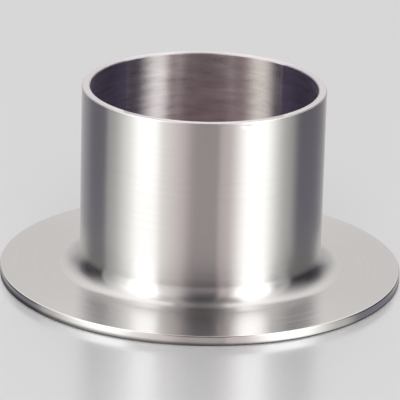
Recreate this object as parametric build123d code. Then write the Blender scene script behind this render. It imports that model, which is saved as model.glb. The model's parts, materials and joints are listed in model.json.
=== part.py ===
from build123d import *
import os

# Stub end for a lapped pipe joint, DN 40, pressed in one piece from stainless sheet.
# A thin round neck stands on a flat collar. The neck's plain end is butt-welded to a
# pipe. A loose backing flange slides over the neck, bears on the back of the collar
# and clamps the collar's face against a gasket.
#
# The origin is at the centre of the sealing face, which is the bottom of the part.
# +Z runs along the bore to the weld end. All sizes are in millimetres.

# Neck: a 48.3 mm tube, thinned by the drawing.
neck_outside_diameter = 48.3
neck_wall = 1.6
overall_height = 39.0

# Collar: the flat ring left from the sheet, at the sheet's own thickness.
collar_diameter = 80.0
collar_thickness = 2.0

# Bend between neck and collar, as a hollow on the back of the collar.
back_fillet_radius = 4.0

# Edges: the collar's turned rim and the neck's cut end both have their corners taken off.
rim_chamfer = 0.3
weld_end_chamfer = 0.2

neck_outside_radius = neck_outside_diameter / 2
bore_radius = neck_outside_radius - neck_wall
collar_radius = collar_diameter / 2

# The bore turns out into the sealing face round the same bend, so its radius is the
# hollow's plus the wall there, which grows from the neck's to the collar's.
bend_wall = (neck_wall + collar_thickness) / 2
face_bend_radius = back_fillet_radius + bend_wall


def wall_section():
    """One side of the wall, cut along the axis: an L with its two bends and its edges."""
    corners = [
        (bore_radius, 0),
        (collar_radius, 0),
        (collar_radius, collar_thickness),
        (neck_outside_radius, collar_thickness),
        (neck_outside_radius, overall_height),
        (bore_radius, overall_height),
    ]
    with BuildSketch(Plane.XZ) as section:
        with BuildLine():
            Polyline(*corners, close=True)
        make_face()

        def corner(radius, height):
            here = Vector(radius, height)
            return section.vertices(Select.ALL).sort_by_distance(here)[0]

        fillet(corner(neck_outside_radius, collar_thickness), back_fillet_radius)
        fillet(corner(bore_radius, 0), face_bend_radius)
        chamfer(corner(collar_radius, 0), rim_chamfer)
        chamfer(corner(collar_radius, collar_thickness), rim_chamfer)
        chamfer(corner(neck_outside_radius, overall_height), weld_end_chamfer)
        chamfer(corner(bore_radius, overall_height), weld_end_chamfer)
    return section.sketch


def stub_end():
    """The wall's section turned once round the bore's axis."""
    return revolve(wall_section(), axis=Axis.Z)


os.makedirs("parts", exist_ok=True)
export_step(stub_end(), "parts/stub_end.step")
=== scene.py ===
# %% [markdown]
# # A stub end in stainless steel
#
# The object is one piece: a thin round neck that turns out into a flat collar. It is pressed from
# sheet, turned and brushed. Everything that makes it look real is in three things: the bend
# between neck and collar, the fine lines that the lathe and the brush left round the axis, and
# the studio that the bare metal mirrors.
#
# The lesson reads the sizes, sets the camera, draws the wall's section, turns it round the axis
# as a grid of points, gives each zone its finish, and then builds the studio.

# %% Load the frame
import json
import math

import bpy
import numpy as np
from mathutils import Matrix, Vector


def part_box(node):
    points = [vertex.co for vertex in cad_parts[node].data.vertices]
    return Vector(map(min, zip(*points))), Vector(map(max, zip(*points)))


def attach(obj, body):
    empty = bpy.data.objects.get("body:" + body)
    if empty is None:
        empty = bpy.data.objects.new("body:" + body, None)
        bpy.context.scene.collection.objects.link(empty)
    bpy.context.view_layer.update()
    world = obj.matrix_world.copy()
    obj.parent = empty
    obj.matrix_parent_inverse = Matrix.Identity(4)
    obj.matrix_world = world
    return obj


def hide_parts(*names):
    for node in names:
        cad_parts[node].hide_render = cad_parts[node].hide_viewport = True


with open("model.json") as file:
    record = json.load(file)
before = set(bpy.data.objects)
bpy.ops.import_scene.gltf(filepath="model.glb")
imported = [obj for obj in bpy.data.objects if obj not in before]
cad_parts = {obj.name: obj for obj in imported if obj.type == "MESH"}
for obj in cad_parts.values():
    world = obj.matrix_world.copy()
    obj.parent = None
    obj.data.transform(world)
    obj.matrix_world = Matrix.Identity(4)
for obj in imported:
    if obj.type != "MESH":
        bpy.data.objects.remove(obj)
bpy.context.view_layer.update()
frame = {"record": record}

# %% [markdown]
# ## Sizes
#
# The frame already knows every size that another part would meet, because they are its mounts.
# Reading them from there keeps the picture and the real model at one size: where the straight
# outside of the neck begins gives the hollow behind the collar, and where the straight bore
# begins gives the bend inside. Only the rounding of the collar's rim has no mount, so its value
# is written here.

# %% Sizes from the frame
MM = 0.001

mounts = {mount["name"]: mount for mount in frame["record"]["mounts"]}
box_low, box_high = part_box("stub_end")


def straight_stretch(mount):
    """Radius, lower end and upper end of a round mount's straight wall, in metres."""
    middle = mount["pos_m"][2]
    half = mount["dims"]["length_mm"] * MM / 2
    return mount["dims"]["r_mm"] * MM, middle - half, middle + half


neck_radius, hollow_top, neck_top = straight_stretch(mounts["barrel"])
bore_radius, bend_top, bore_top = straight_stretch(mounts["bore"])
collar_thickness = mounts["flange_seat"]["pos_m"][2]
overall_height = mounts["weld_end"]["pos_m"][2]
collar_radius = box_high[0]

hollow_radius = hollow_top - collar_thickness
bend_radius = bend_top
weld_chamfer = overall_height - neck_top
rim_edge = 0.3 * MM
print("neck", neck_radius, "collar", collar_radius, "hollow", hollow_radius, "bend", bend_radius)

# %% [markdown]
# ## The camera
#
# A camera that looks at a round object from a little above sees its circles as ellipses. How
# flat they are gives the height of the eye, and how much larger the near rim is than the far
# one gives the distance. The part isn't quite in the middle of the picture, so the rest is made
# up by a small shift, as with the sliding back of a view camera. The slight roll is the tilt of
# the ellipses' long axes.

# %% Camera
PICTURE_WIDTH = 400
SENSOR_WIDTH = 36.0

camera_elevation = math.radians(19.05)
camera_distance = 0.6312
camera_roll = math.radians(1.51)
aim_height = 0.0193
focal_length_px = 3173.6
axis_pixel_x = 202.0
axis_pixel_y = 180.7


def add_object(name, data):
    """A new object for a mesh, a lamp or a camera, linked to the scene's own collection."""
    thing = bpy.data.objects.new(name, data)
    bpy.context.scene.collection.objects.link(thing)
    return thing


def make_camera():
    """Looks along +Y and down. Its right and up arms are turned by the roll about its own axis."""
    back = Vector((0, -math.cos(camera_elevation), math.sin(camera_elevation)))
    level = Vector((1, 0, 0))
    upright = back.cross(level)
    right = math.cos(camera_roll) * level + math.sin(camera_roll) * upright
    up = -math.sin(camera_roll) * level + math.cos(camera_roll) * upright
    turned = Matrix((right, up, back)).transposed().to_4x4()
    data = bpy.data.cameras.new("camera")
    data.sensor_width = SENSOR_WIDTH
    data.lens = focal_length_px * SENSOR_WIDTH / PICTURE_WIDTH
    data.shift_x = (PICTURE_WIDTH / 2 - axis_pixel_x) / PICTURE_WIDTH
    data.shift_y = (axis_pixel_y - PICTURE_WIDTH / 2) / PICTURE_WIDTH
    camera = add_object("camera", data)
    place = Vector((0, 0, aim_height)) + back * camera_distance
    camera.matrix_world = Matrix.Translation(place) @ turned
    bpy.context.scene.camera = camera
    print("camera at", [round(v, 4) for v in place], "lens", round(data.lens, 1))


make_camera()

# %% [markdown]
# ## The wall's section
#
# A turned or pressed round part is its section carried once round the axis. The section is made
# of only two kinds of line, straight runs and arcs, so two small helpers draw all of it. They
# work on whole arrays of radius and height.

# %% Straight runs and bends
def run(start, end, count):
    """Points on a straight line. They crowd towards both ends, so that the shading of a flat
    stays flat up to its edge. The share of the way is half of one minus the cosine."""
    share = (1 - np.cos(np.linspace(0, math.pi, count))) / 2
    return np.outer(1 - share, start) + np.outer(share, end)


def bend(centre, radius, start_deg, end_deg, count):
    """Points on an arc. Radius and height follow the cosine and sine of an even sweep."""
    sweep = np.radians(np.linspace(start_deg, end_deg, count))
    return np.array(centre) + radius * np.stack([np.cos(sweep), np.sin(sweep)], axis=1)


print("a run from 0 to 1:", run((0, 0), (1, 0), 5)[:, 0].round(2))

# %% [markdown]
# ## The closed outline
#
# The outline starts at the weld end and goes down the outside, through the hollow, over the
# collar and its rim, back across the sealing face and up the bore. Each stretch keeps the name
# of its finish, because the lathe, the brush and the saw leave different marks. The rim's two
# edges are small arcs and not sharp corners: a real edge always catches a thin line of light.

# %% Outline
def wall_outline():
    """The outline's points, and the name of the finish of the step after each point. Every
    stretch leaves out its last point, which is the first of the next."""
    hollow_centre = (neck_radius + hollow_radius, hollow_top)
    bend_centre = (bore_radius + bend_radius, bend_top)
    inner_end = (bore_radius + weld_chamfer, overall_height)
    outer_end = (neck_radius - weld_chamfer, overall_height)
    rim_inside = collar_radius - rim_edge
    rim_top = collar_thickness - rim_edge
    stretches = [
        ("cut_end", run(inner_end, outer_end, 10)),
        ("cut_end", run(outer_end, (neck_radius, neck_top), 5)),
        ("neck", run((neck_radius, neck_top), (neck_radius, hollow_top), 60)),
        ("neck", bend(hollow_centre, hollow_radius, 180, 270, 40)),
        ("collar", run((hollow_centre[0], collar_thickness), (rim_inside, collar_thickness), 30)),
        ("rim", bend((rim_inside, rim_top), rim_edge, 90, 0, 9)),
        ("rim", run((collar_radius, rim_top), (collar_radius, rim_edge), 8)),
        ("rim", bend((rim_inside, rim_edge), rim_edge, 0, -90, 9)),
        ("collar", run((rim_inside, 0), (bend_centre[0], 0), 12)),
        ("bore", bend(bend_centre, bend_radius, 270, 180, 24)),
        ("bore", run((bore_radius, bend_top), (bore_radius, bore_top), 50)),
        ("cut_end", run((bore_radius, bore_top), inner_end, 5)),
    ]
    points = np.vstack([line[:-1] for name, line in stretches])
    finish_names = [name for name, line in stretches for step in line[:-1]]
    return points, finish_names


outline, outline_finish = wall_outline()
print("outline:", len(outline), "points")

# %% [markdown]
# ## Turning it
#
# Blender's Spin or Screw would turn a drawn profile as well. Here the surface is worked out as a
# function of two parameters, how far along the section and how far round the axis, because each
# point can then also be moved a little along its own normal, and because the map of the metal's
# grooves comes from the same two parameters.

# %% Turned surface
ROUND_STEPS = 360


def round_angles(steps):
    """One angle for each row, even steps of a full turn."""
    return np.arange(steps)[:, None] * 2 * math.pi / steps


def turned_surface(points, lift, steps):
    """A section carried round the axis: x and y are the radius times the cosine and sine of the
    angle, and z is the height. Rows follow the angle, columns the section. Before that, each
    point is moved by its lift along the outline's own normal, the tangent turned by a quarter."""
    ahead = np.roll(points, -1, axis=0) - np.roll(points, 1, axis=0)
    tangent = ahead / np.linalg.norm(ahead, axis=1)[:, None]
    normal = np.stack([-tangent[:, 1], tangent[:, 0]], axis=1)
    angle = round_angles(steps)
    radius = points[:, 0] + normal[:, 0] * lift
    height = points[:, 1] + normal[:, 1] * lift
    return np.stack([radius * np.cos(angle), radius * np.sin(angle), height], axis=2)


def closed_grid_faces(steps, columns):
    """Corner numbers of the squares between neighbouring rows and columns. Both ways close on
    themselves, so the surface has no edge."""
    row = np.repeat(np.arange(steps), columns)
    column = np.tile(np.arange(columns), steps)
    next_row, next_column = (row + 1) % steps, (column + 1) % columns
    return np.stack([row * columns + column, row * columns + next_column,
                     next_row * columns + next_column, next_row * columns + column], axis=1)


print("squares round the part:", len(closed_grid_faces(ROUND_STEPS, len(outline))))

# %% [markdown]
# ## Arrays into a mesh
#
# A mesh can be filled point by point, but foreach_set takes a whole array in one call, which is
# much faster and keeps the shape in numpy. All faces are smooth, because the outline already has
# enough points wherever the real wall bends.

# %% Mesh from arrays
def mesh_from_arrays(name, points, faces):
    """Puts whole arrays of points and four-cornered faces into a new mesh."""
    mesh = bpy.data.meshes.new(name)
    mesh.vertices.add(len(points))
    mesh.vertices.foreach_set("co", points.ravel())
    mesh.loops.add(faces.size)
    mesh.loops.foreach_set("vertex_index", faces.ravel())
    mesh.polygons.add(len(faces))
    mesh.polygons.foreach_set("loop_start", np.arange(len(faces)) * faces.shape[1])
    mesh.polygons.foreach_set("use_smooth", np.ones(len(faces), dtype=bool))
    mesh.update(calc_edges=True)
    print(name, "has", len(points), "points and", len(faces), "faces")
    return mesh


# %% [markdown]
# ## A little unevenness
#
# No drawn neck is a perfect cylinder. A few slow waves, together about two hundredths of a
# millimetre deep, bend the mirrored bands just enough to look real, and are far too small to
# change a size. They could be a bump in the material, but as geometry they bend every
# reflection in the right way.

# %% Waves
WAVE_SEED = 11
WAVES_ROUND = (2, 3, 5, 7, 11)
WAVE_LENGTHS_MM = (14, 34)
WAVE_HEIGHT = 0.006 * MM
WAVE_FADE = 2 * MM
WAVELESS_RIM = 0.5 * MM
WAVELESS_BASE = 1 * MM


def wavy_lift(points, finish_names, steps):
    """Sum of slow cosine waves round the axis and along the section, held at or below the true
    surface, and only on the neck, the hollow and the collar's back. It fades out towards the
    weld end and the rim."""
    random = np.random.default_rng(WAVE_SEED)
    angle = round_angles(steps)
    step = np.linalg.norm(np.diff(points, axis=0, prepend=points[:1]), axis=1)
    along = np.cumsum(step)
    lift = np.zeros((steps, len(points)))
    for around in WAVES_ROUND:
        phase = random.uniform(0, 2 * math.pi, 2)
        length = random.uniform(*WAVE_LENGTHS_MM) * MM
        lift += np.cos(around * angle + phase[0] + along * 2 * math.pi / length) / around
        lift += np.cos(around * angle - phase[1] - along * 2 * math.pi / length) / around
    wavy = np.array([name in ("neck", "collar") for name in finish_names])
    wavy &= points[:, 1] > WAVELESS_BASE
    to_edge = np.minimum(neck_top - points[:, 1], collar_radius - WAVELESS_RIM - points[:, 0])
    return (lift - lift.max()) * WAVE_HEIGHT * wavy * np.clip(to_edge / WAVE_FADE, 0, 1)


waves = wavy_lift(outline, outline_finish, ROUND_STEPS)
print("deepest wave in mm:", round(-waves.min() / MM, 4))

# %% [markdown]
# ## The nick
#
# Just under the weld end, at the front, the neck has one small dent from handling. It is real
# geometry too. Its depth is a bell curve, so it has no edge of its own, and its light and dark
# marks come only from the mirror image that it bends.

# %% Nick
NICK_TURN = math.radians(-90 + 20.7)
NICK_HALF_WIDTH = 0.8 * MM
NICK_HALF_HEIGHT = 0.18 * MM
NICK_BELOW_END = 0.75 * MM
NICK_DEPTH = 0.09 * MM


def nick_lift(points, finish_names, steps):
    """A shallow pit whose depth falls off as a bell curve, wide round the neck and short along
    it: the exponent is minus the sum of the two squared shares of its half sizes."""
    away = (round_angles(steps) - NICK_TURN + math.pi) % (2 * math.pi) - math.pi
    across = away * neck_radius / NICK_HALF_WIDTH
    upward = (points[:, 1] - overall_height + NICK_BELOW_END) / NICK_HALF_HEIGHT
    on_neck = np.array([name == "neck" for name in finish_names])
    return -NICK_DEPTH * np.exp(-across ** 2 - upward ** 2) * on_neck


nick = nick_lift(outline, outline_finish, ROUND_STEPS)
print("nick's depth in mm:", round(-nick.min() / MM, 3))

# %% [markdown]
# ## The part itself
#
# Now the outline, the waves and the nick are turned into one closed surface. Two things go with
# it. A number on each face says which finish it has. A map unrolls the wall, with the length
# along the section in one direction and the turn round the axis in the other, so that the metal
# knows at every point which way its grooves run.

# %% Stub end
FINISH_ORDER = ["neck", "collar", "rim", "bore", "cut_end"]
MAP_NAME = "along_and_round"
MAP_LENGTH = 0.1


def unroll(mesh, points, steps):
    """Writes the map. At each face corner, the first number is the length along the section so
    far, in lengths of 0.1 m, and the second is the share of a full turn."""
    columns = len(points)
    step = np.linalg.norm(np.diff(np.vstack([points, points[:1]]), axis=0), axis=1)
    along = np.concatenate([[0], np.cumsum(step)]) / MAP_LENGTH
    row, column = np.divmod(np.arange(steps * columns), columns)
    u = np.stack([along[column], along[column + 1], along[column + 1], along[column]], axis=1)
    v = np.stack([row, row, row + 1, row + 1], axis=1) / steps
    layer = mesh.uv_layers.new(name=MAP_NAME)
    layer.data.foreach_set("uv", np.stack([u, v], axis=2).astype(np.float32).ravel())


def make_stub_end():
    """Turns the outline into the part, with its finishes' numbers and its map."""
    grid = turned_surface(outline, waves + nick, ROUND_STEPS)
    faces = closed_grid_faces(ROUND_STEPS, len(outline))
    mesh = mesh_from_arrays("stub_end_turned", grid.reshape(-1, 3), faces)
    ring_finish = np.array([FINISH_ORDER.index(name) for name in outline_finish])
    mesh.polygons.foreach_set("material_index", np.tile(ring_finish, ROUND_STEPS))
    unroll(mesh, outline, ROUND_STEPS)

    piece = add_object("stub_end_turned", mesh)
    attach(piece, "root")
    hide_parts("stub_end")
    return piece


stub_end = make_stub_end()
print("turned piece:", len(stub_end.data.polygons) * 2, "triangles")

# %% [markdown]
# ## Where the grooves run
#
# Turned and brushed steel has fine lines round the axis. A picture of lines could be wrapped
# round the part, but noise does it without one: noise that changes fast along the section and
# hardly at all round the axis is nothing but long fine lines, and no two are alike. Round the
# axis it follows the point's own x and y, so it has no seam.

# %% Groove lines
def feed(tree, node, values, sources):
    """Sets some of a node's inputs to plain values and links others to outputs."""
    for socket, value in values.items():
        node.inputs[socket].default_value = value
    for socket, output in sources.items():
        tree.links.new(output, node.inputs[socket])
    return node


def groove_noise(tree, lines_per_mm, line_length):
    """Noise from 0 to 1, squeezed along the section and drawn out round the axis."""
    new = tree.nodes.new
    place = new("ShaderNodeTexCoord")
    apart = feed(tree, new("ShaderNodeSeparateXYZ"), {}, {0: place.outputs["Object"]})
    unrolled = new("ShaderNodeUVMap")
    unrolled.uv_map = MAP_NAME
    along = feed(tree, new("ShaderNodeSeparateXYZ"), {}, {0: unrolled.outputs[0]})
    spot = feed(tree, new("ShaderNodeCombineXYZ"), {},
                {"X": apart.outputs["X"], "Y": apart.outputs["Y"], "Z": along.outputs["X"]})
    scale = (1 / line_length, 1 / line_length, lines_per_mm * MAP_LENGTH / MM)
    drawn = feed(tree, new("ShaderNodeMapping"), {"Scale": scale}, {0: spot.outputs[0]})
    return feed(tree, new("ShaderNodeTexNoise"), {"Scale": 1.0, "Detail": 3.0, "Roughness": 0.6},
                {"Vector": drawn.outputs[0]}).outputs[0]


def cloud_noise(tree):
    """Slow noise in all directions, for the faint cloudiness of handled metal."""
    place = tree.nodes.new("ShaderNodeTexCoord")
    return feed(tree, tree.nodes.new("ShaderNodeTexNoise"), {"Scale": 90.0, "Detail": 4.0},
                {"Vector": place.outputs["Object"]}).outputs[0]


# %% [markdown]
# ## The metal
#
# Brushed steel is a mirror with fine grooves. Across the grooves the mirror image smears out,
# along them it stays sharp. Here every groove runs round the axis, so the smear runs along the
# section: up the neck, in and out on the collar. The shader does this with its Anisotropic
# value and with a tangent, which it reads from the map's first direction. The lines themselves
# only vary the roughness, the colour and the height by a little, and by much more in the bore.

# %% Brushed steel
ANISOTROPIC = 0.97
ROUGHNESS_SPREAD = 0.02
DEFAULT_LINE_LENGTH = 55 * MM
DEFAULT_DARK_LINE = 0.95


def uneven_roughness(tree, grooves, roughness, mottle):
    """The roughness moves a little up and down with the lines and rises with the cloudiness."""
    lines = feed(tree, tree.nodes.new("ShaderNodeMapRange"),
                 {"From Min": 0.3, "From Max": 0.7, "To Min": roughness - ROUGHNESS_SPREAD,
                  "To Max": roughness + ROUGHNESS_SPREAD}, {"Value": grooves})
    cloudy = tree.nodes.new("ShaderNodeMath")
    cloudy.operation = "MULTIPLY_ADD"
    return feed(tree, cloudy, {1: mottle}, {0: cloud_noise(tree), 2: lines.outputs[0]}).outputs[0]


def brushed_steel(name, colour, roughness, lines_per_mm, line_depth, mottle,
                  line_length=DEFAULT_LINE_LENGTH, dark_line=DEFAULT_DARK_LINE):
    """Metal with grooves round the axis. The dark lines have the colour times dark_line."""
    material = bpy.data.materials.new(name)
    material.use_nodes = True
    tree = material.node_tree
    tree.nodes.clear()
    new = tree.nodes.new
    grooves = groove_noise(tree, lines_per_mm, line_length)

    tint = new("ShaderNodeMix")
    tint.data_type = "RGBA"
    feed(tree, tint, {"A": (*(dark_line * c for c in colour), 1), "B": (*colour, 1)},
         {"Factor": grooves})
    bump = feed(tree, new("ShaderNodeBump"), {"Strength": 1.0, "Distance": line_depth},
                {"Height": grooves})
    tangent = new("ShaderNodeTangent")
    tangent.direction_type = "UV_MAP"
    tangent.uv_map = MAP_NAME

    shader = feed(tree, new("ShaderNodeBsdfPrincipled"),
                  {"Metallic": 1.0, "Anisotropic": ANISOTROPIC},
                  {"Base Color": tint.outputs["Result"],
                   "Roughness": uneven_roughness(tree, grooves, roughness, mottle),
                   "Normal": bump.outputs[0], "Tangent": tangent.outputs[0]})
    feed(tree, new("ShaderNodeOutputMaterial"), {}, {"Surface": shader.outputs[0]})
    return material


# %% [markdown]
# ## The five finishes
#
# - The neck is drawn and brushed: smooth, with faint long lines.
# - The collar is turned flat, a little rougher and with clearer lines.
# - The rim is the collar's turned edge, smoother than the collar's flat, with a paler colour that
#   is painted light.
# - The bore keeps the marks of the tool that drew it: short, deep and ragged streaks.
# - The cut end is ground square across and dull, with a pale colour that is painted light.
#
# All are one material function with other values, because all are the same steel. The colours
# differ by more than one steel's would: each was set against the photograph, under these cards,
# so the paler colours of the rim and the cut end are painted light.

# %% Finishes
STEEL = (0.730, 0.720, 0.710)

finishes = {
    "neck": brushed_steel("brushed_neck", STEEL, roughness=0.19, lines_per_mm=2.5,
                          line_depth=0.10e-6, mottle=0.02, dark_line=0.93),
    "collar": brushed_steel("turned_collar", STEEL, roughness=0.22, lines_per_mm=2.5,
                            line_depth=0.20e-6, mottle=0.02, dark_line=0.90),
    # The rim's colour is paler than STEEL: that extra paleness is painted light.
    "rim": brushed_steel("turned_rim", (0.84, 0.83, 0.82), roughness=0.12, lines_per_mm=6,
                         line_depth=0.1e-6, mottle=0.03),
    "bore": brushed_steel("turned_bore", (0.95, 0.93, 0.92), roughness=0.27, lines_per_mm=0.9,
                          line_depth=2.0e-5, mottle=0.04, line_length=6 * MM, dark_line=0.40),
    # The cut end's colour is paler than STEEL: that extra paleness is painted light.
    "cut_end": brushed_steel("ground_end", (0.93, 0.91, 0.92), roughness=0.32, lines_per_mm=8,
                             line_depth=0.5e-6, mottle=0.03),
}
for name in FINISH_ORDER:
    stub_end.data.materials.append(finishes[name])
print("finishes:", ", ".join(FINISH_ORDER))

# %% [markdown]
# ## The studio
#
# Bare metal shows what stands around it, so most of its look is made by the cards round the
# set. A photographer moves real white and black cards until the bands on the metal look right.
# Here each card is a soft-edged patch of light or dark in some directions, seen from the part.
# They were moved until the bands came close to the photograph's from its own camera. So
# they aren't the real room, and from other sides the bands are a guess.
#
# The list goes from the room to the brightest light, because each card is laid over the ones
# before it. A card has its brightness, its tint, and four angles each way, in degrees: where it
# begins, where it is full, where it stops being full, and where it ends. Across, 0 is the
# camera's side and plus is to the right. Upward, 0 is level.

# %% Cards
NEUTRAL = (1.0, 1.0, 1.0)
BEIGE = (1.03, 1.0, 0.96)
CREAM = (1.01, 1.01, 0.97)
COOL = (0.99, 1.0, 1.03)
WARM = (1.01, 0.98, 0.975)
ROSE = (1.08, 0.96, 0.96)
VIOLET = (0.98, 0.93, 1.10)

ROOM_GLOW = 0.39
room_cards = [
    ("floor far off", 0.60, BEIGE, (-200, -180, 180, 200), (-90, -60, -26, -14)),
    ("pale wall behind the set", 0.62, WARM, (140, 165, 195, 220), (-30, -10, 90, 120)),
    ("ceiling round the back", 1.45, WARM, (60, 80, 280, 300), (-2, 77, 78, 80)),
    ("dark floor left", 0.27, VIOLET, (-176, -121, -113, -94), (-80, -54, 6, 19)),
    ("dark floor right", 0.22, VIOLET, (92, 107, 130, 178), (-80, -55, 4, 21)),
    ("camera side", 0.60, ROSE, (-74, -49, 40, 60), (-90, -85, 70, 78)),
    ("camera and its gap", 0.44, ROSE, (-19, -5, 14, 17), (-90, -85, 11, 13)),
    ("ceiling over the camera", 0.19, ROSE, (-38, -11, 29, 55), (26, 49, 91, 93)),
    ("camera's dark back", 0.08, VIOLET, (-26, -1, 15, 21), (-36, 42, 64, 69)),
]
dark_cards = [
    ("dark wall left", 0.14, VIOLET, (-146, -128, -119, -112), (-10, 4, 14, 34)),
    ("dark wall right", 0.14, VIOLET, (112, 119, 132, 148), (-10, 4, 14, 34)),
    ("dark flag left", 0.04, VIOLET, (-143, -122, -101, -99), (-27, -3, 6, 60)),
    ("dark flag right", 0.02, VIOLET, (86, 97, 118, 156), (-22, -3, 3, 70)),
]
light_boxes = [
    ("left light box, low", 1.26, CREAM, (-95, -64, -54, -9), (-55, -8, 36, 54)),
    ("right light box, low", 1.61, CREAM, (21, 48, 54, 90), (-52, -10, -9, 10)),
    ("left light box, high", 1.80, NEUTRAL, (-90, -70, -53, -42), (13, 40, 50, 66)),
    ("right light box, high", 1.90, NEUTRAL, (46, 55, 67, 79), (-3, 40, 56, 63)),
    ("left light box, core", 2.50, COOL, (-72, -58, -45, -36), (-28, 9, 30, 41)),
    ("right light box, core", 2.55, NEUTRAL, (25, 45, 57, 75), (-20, 10, 30, 54)),
]
cards = room_cards + dark_cards + light_boxes
print("cards:", len(cards))

# %% [markdown]
# ## How the cards cover each other
#
# Every soft edge is the same S-shaped step, which starts and stops without a corner, so the
# bands on the metal have no hard lines that a real soft box wouldn't give.

# %% Glow from each direction
def soft_step(value, outside, inside):
    """0 at outside, 1 at inside, and an S-shaped rise of three squares less two cubes between."""
    share = np.clip((value - outside) / (inside - outside), 0, 1)
    return share * share * (3 - 2 * share)


def card_cover(azimuth, elevation, across, upward):
    """How far a card hides what is behind it: the product of its two soft edges each way. The
    azimuth is first brought to within half a turn of the card's middle."""
    middle = (across[1] + across[2]) / 2
    near = middle + (azimuth - middle + 180) % 360 - 180
    sideways = soft_step(near, across[0], across[1]) * soft_step(near, across[3], across[2])
    height = soft_step(elevation, upward[0], upward[1]) * soft_step(elevation, upward[3], upward[2])
    return sideways * height


def studio_glow(azimuth, elevation):
    """Light that comes from each direction. Every card is laid over the ones before it, so the
    glow moves towards the card's own by the card's cover."""
    glow = np.full((*azimuth.shape, 3), ROOM_GLOW)
    for name, strength, tint, across, upward in cards:
        cover = card_cover(azimuth, elevation, across, upward)[..., None]
        glow = glow + cover * (strength * np.array(tint) - glow)
    return glow


print("glow from the left light box:", studio_glow(np.array([-50.0]), np.array([20.0])).round(2))

# %% [markdown]
# ## Sheets that only mirrors see
#
# The cards must shape the reflections and nothing else: a card that lit the floor or stood in
# the picture would spoil both. Blender's ray visibility does this. These sheets are hidden from
# the camera, from soft light and from shadows, and stay visible to mirror rays alone. The
# glossy floor sends out such rays too, so from some sides it mirrors the light boxes as a white
# sheen. The sheets' colour is written on their points, so the pattern needs no picture.

# %% Mirror-only sheets
def glowing(name, attribute):
    """A light of its own whose colour comes from the points of the mesh."""
    material = bpy.data.materials.new(name)
    material.use_nodes = True
    material.cycles.emission_sampling = "NONE"
    tree = material.node_tree
    tree.nodes.clear()
    read = tree.nodes.new("ShaderNodeAttribute")
    read.attribute_name = attribute
    glow = feed(tree, tree.nodes.new("ShaderNodeEmission"), {}, {"Color": read.outputs["Color"]})
    feed(tree, tree.nodes.new("ShaderNodeOutputMaterial"), {}, {"Surface": glow.outputs[0]})
    return material


def mirror_only(thing):
    """Stage equipment that only mirror rays see, those of the metal and of the glossy floor."""
    thing.visible_camera = False
    thing.visible_diffuse = False
    thing.visible_shadow = False
    thing.visible_transmission = False


def paint_points(mesh, name, colours):
    """Writes a colour for each point, with the fourth number left at 1."""
    layer = mesh.color_attributes.new(name, "FLOAT_COLOR", "POINT")
    full = np.ones((len(mesh.vertices), 4), dtype=np.float32)
    full[:, :3] = colours.reshape(-1, 3)
    layer.data.foreach_set("color", full.ravel())


def open_grid_faces(rows, columns):
    """Corner numbers of the squares of a grid that doesn't close on itself."""
    row, column = np.divmod(np.arange((rows - 1) * (columns - 1)), columns - 1)
    first = row * columns + column
    return np.stack([first, first + 1, first + columns + 1, first + columns], axis=1)


def hang_sheet(name, points, attribute, colours, material):
    """A grid of points with a colour on each, hung up where only mirror rays see it."""
    mesh = mesh_from_arrays(name, points.reshape(-1, 3), open_grid_faces(*points.shape[:2]))
    paint_points(mesh, attribute, colours)
    mesh.materials.append(material)
    mirror_only(add_object(name, mesh))


# %% [markdown]
# ## The ball of cards
#
# All cards are painted on the inside of one ball, three metres in radius. It is so large beside
# the part that a card's direction is the same from every point of the metal, which keeps the
# bands on the neck straight from top to foot.

# %% Ball of cards
BALL_RADIUS = 3.0


def make_ball_of_cards():
    """Points of the ball, one for each degree: azimuth 0 is the camera's side and rises towards
    the right, and the elevation runs from straight down to straight up."""
    azimuth, elevation = np.meshgrid(np.linspace(-180, 180, 361), np.linspace(-90, 90, 181))
    turn, rise = np.radians(azimuth), np.radians(elevation)
    points = BALL_RADIUS * np.stack([np.cos(rise) * np.sin(turn), -np.cos(rise) * np.cos(turn),
                                     np.sin(rise)], axis=2)
    glow = studio_glow(azimuth, elevation)
    hang_sheet("ball_of_cards", points, "glow", glow, glowing("card_light", "glow"))


make_ball_of_cards()

# %% [markdown]
# ## The shade where the collar meets the floor
#
# Close to the rim the floor is in the collar's own shade, and the rim mirrors that as the thin
# dark line on which the part seems to stand. The floor is hidden from mirror rays, so the shade
# is a ring of its own that dims what is seen through it. It lies a hair under the floor: above
# it, it would also dim what the glossy floor mirrors of the part.

# %% Contact shade
SHADE_INNER = 38.5 * MM
SHADE_OUTER = 44.0 * MM
SHADE_EDGE_DARK = 39.5 * MM
SHADE_EDGE_CLEAR = 40.3 * MM
SHADE_DARKEST = 0.20
SHADE_LEAN = math.radians(-110)
SHADE_LEAST_MM = 0.5
SHADE_EXTRA_MM = 1.4
UNDER_FLOOR = 0.04 * MM


def flat_ring(inner, outer, rings, spokes):
    """Points of a flat ring just under the floor, with their radius and turn. The radius grows
    evenly from inner to outer, and x and y are the radius times the turn's cosine and sine."""
    share, turn = np.meshgrid(np.linspace(0, 1, rings), np.linspace(0, 2 * math.pi, spokes))
    radius = inner + (outer - inner) * share
    level = 0 * radius - UNDER_FLOOR
    points = np.stack([radius * np.cos(turn), radius * np.sin(turn), level], axis=2)
    return points, radius, turn


def dimming(name, attribute):
    """A veil that lets through as much light as the mesh's points say."""
    material = bpy.data.materials.new(name)
    material.use_nodes = True
    tree = material.node_tree
    tree.nodes.clear()
    read = tree.nodes.new("ShaderNodeAttribute")
    read.attribute_name = attribute
    veil = feed(tree, tree.nodes.new("ShaderNodeBsdfTransparent"), {},
                {"Color": read.outputs["Color"]})
    feed(tree, tree.nodes.new("ShaderNodeOutputMaterial"), {}, {"Surface": veil.outputs[0]})
    return material


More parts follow.
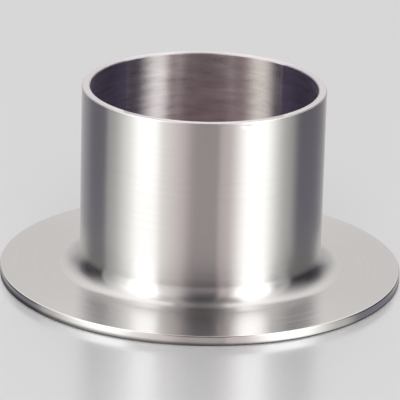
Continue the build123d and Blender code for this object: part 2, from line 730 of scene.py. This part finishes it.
def make_contact_shade():
    """Dark inside and clear outside, with a soft step between. Most light comes from behind, so
    the step lies further out at the front, by the squared cosine of the turn from there."""
    points, radius, turn = flat_ring(SHADE_INNER, SHADE_OUTER, 40, 181)
    facing = np.clip(np.cos(turn - SHADE_LEAN), 0, 1)
    width = (SHADE_LEAST_MM + SHADE_EXTRA_MM * facing ** 2) * MM
    edge = soft_step(radius - width, SHADE_EDGE_DARK, SHADE_EDGE_CLEAR)
    clear = SHADE_DARKEST + (1 - SHADE_DARKEST) * edge
    colours = np.repeat(clear[..., None], 3, axis=2)
    hang_sheet("contact_shade", points, "clear", colours, dimming("dimming", "clear"))


make_contact_shade()

# %% [markdown]
# ## What the bore mirrors
#
# A tube mirrors mostly itself, and its inside sees little of the room. The bore gets its own
# small sheets instead. A disc gives the dim patch of floor at its bottom. Two upright sheets
# stand inside it, one at each side and edge on to the camera. The wall behind mirrors each of
# them as one bright upright band with dark metal beside it. They reach well above the weld end,
# so that the bands run up to it. All three are made for the photograph's view, and from other
# sides the bore looks a little too pink.

# %% Bore floor and bore sheets
BORE_FLOOR_RADIUS = 29.5 * MM
BORE_FLOOR_GLOW = (0.21, 0.105, 0.14)
SHEET_SIDE = 15.5 * MM
SHEET_HALF_DEPTH = 16.2 * MM
SHEET_LOW = 3 * MM
SHEET_HIGH = 95 * MM
DARK_BACK = np.array((0.052, 0.042, 0.068))
DIM_FRONT = np.array((0.26, 0.19, 0.205))
CORNER_START = 13.0 * MM
CORNER_LIFT = 0.6


def make_bore_floor():
    """The patch of floor inside the bore, in the part's own shade, as the bore mirrors it."""
    points = flat_ring(0, BORE_FLOOR_RADIUS, 8, 91)[0]
    colours = np.zeros(points.shape) + BORE_FLOOR_GLOW
    hang_sheet("bore_floor", points, "glow", colours, glowing("bore_floor_light", "glow"))


def make_bore_sheet(name, side, band, rise, fall):
    """An upright sheet at one side of the bore, edge on to the camera. Along its depth it is
    dark at the back, bright between the rise and the fall, and dim at the front. Its far back
    corner is a little lighter, so that the dark metal fades out softly."""
    depth, height = np.meshgrid(np.linspace(-SHEET_HALF_DEPTH, SHEET_HALF_DEPTH, 163),
                                np.linspace(SHEET_LOW, SHEET_HIGH, 3))
    points = np.stack([0 * depth + side, depth, height], axis=2)
    past_back = soft_step(depth, *rise)
    bright = past_back * soft_step(depth, *fall)
    lift = 1 + CORNER_LIFT * soft_step(depth, CORNER_START, SHEET_HALF_DEPTH)
    corner = DARK_BACK * lift[..., None]
    rest = corner + past_back[..., None] * (DIM_FRONT - corner)
    glow = rest + bright[..., None] * (np.array(band) - rest)
    hang_sheet(name, points, "glow", glow, glowing(name + "_light", "glow"))


make_bore_floor()
make_bore_sheet("bore_sheet_right", SHEET_SIDE, band=(1.28, 1.22, 1.22),
                rise=(9.0 * MM, -0.5 * MM), fall=(-11.0 * MM, -3.0 * MM))
make_bore_sheet("bore_sheet_left", -SHEET_SIDE, band=(1.08, 1.01, 0.95),
                rise=(11.0 * MM, 5.8 * MM), fall=(-6.0 * MM, 4.0 * MM))

# %% [markdown]
# ## Floor, lamps and room
#
# The part stands on a pale glossy table. A higher IOR than glass has makes its mirror image of
# the neck strong enough at this low angle, and some roughness makes it soft. The floor starts a
# hair below the sealing face, so the two never share a plane. The light that falls on the floor
# is plain: an even world and two large soft lamps, one behind and one in front.

# %% Floor
FLOOR_HALF = 6.0
FLOOR_BELOW = 0.02 * MM


def make_floor():
    """One large square. Mirror rays from the metal don't see it, because the cards stand for it."""
    corners = np.array([(-1, -1, 0), (1, -1, 0), (1, 1, 0), (-1, 1, 0)]) * FLOOR_HALF
    mesh = mesh_from_arrays("floor", corners - [0, 0, FLOOR_BELOW], np.array([[0, 1, 2, 3]]))
    material = bpy.data.materials.new("pale_floor")
    material.use_nodes = True
    shader = material.node_tree.nodes["Principled BSDF"]
    shader.inputs["Base Color"].default_value = (0.78, 0.775, 0.785, 1)
    shader.inputs["Roughness"].default_value = 0.21
    shader.inputs["IOR"].default_value = 2.4
    mesh.materials.append(material)
    floor = add_object("floor", mesh)
    floor.visible_glossy = False


make_floor()

# %% Lamps and world
def make_lamp(name, place, size, power):
    """A square soft lamp that looks at the part. The metal doesn't mirror it."""
    data = bpy.data.lights.new(name, "AREA")
    data.size = size
    data.energy = power
    lamp = add_object(name, data)
    lamp.location = place
    lamp.rotation_euler = Vector(place).to_track_quat("Z", "Y").to_euler()
    lamp.visible_glossy = False
    print(name, "gives", power, "W")


def make_world():
    """An even, very slightly cool light from everywhere."""
    world = bpy.data.worlds.new("soft_room")
    world.use_nodes = True
    shade = world.node_tree.nodes["Background"]
    shade.inputs["Color"].default_value = (0.93, 0.93, 0.94, 1)
    shade.inputs["Strength"].default_value = 0.60
    bpy.context.scene.world = world


make_lamp("back_lamp", place=(0.0, 0.8, 0.9), size=0.8, power=3.0)
make_lamp("front_lamp", place=(0.0, -0.7, 0.7), size=0.6, power=2.3)
make_world()
bpy.context.scene.view_settings.view_transform = "Standard"
